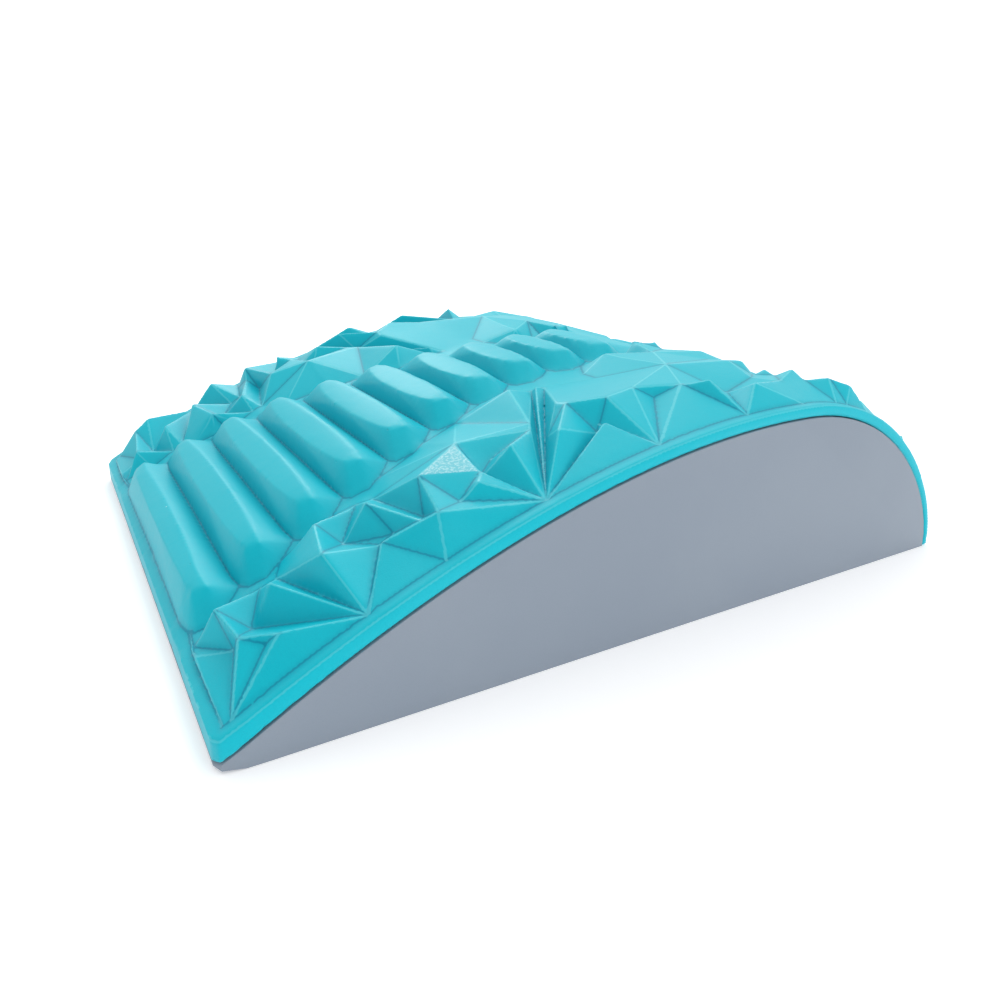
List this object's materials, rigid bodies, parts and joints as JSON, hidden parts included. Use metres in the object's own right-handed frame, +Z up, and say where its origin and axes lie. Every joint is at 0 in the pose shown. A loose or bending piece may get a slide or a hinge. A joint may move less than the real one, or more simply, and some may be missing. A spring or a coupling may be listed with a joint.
{
  "type": "ab mat",
  "caption": "Arched foam cushion that supports the lower back in sit-ups: a flat-based core under a bonded cover with raised cross bars and facets.",
  "frame": {"origin": "under the middle of the mat, on the surface that it stands on", "axes": "+X along the mat from the thin end to the steep end, +Y across it, +Z up"},
  "size_m": [0.3586, 0.275, 0.0955],
  "materials": {
    "grey_foam": "matte closed-cell foam skin",
    "turquoise_foam": "satin moulded closed-cell foam skin"
  },
  "bodies": {
    "root": {"foam_core": "grey_foam", "relief_cover": "turquoise_foam"}
  },
  "joints": []
}
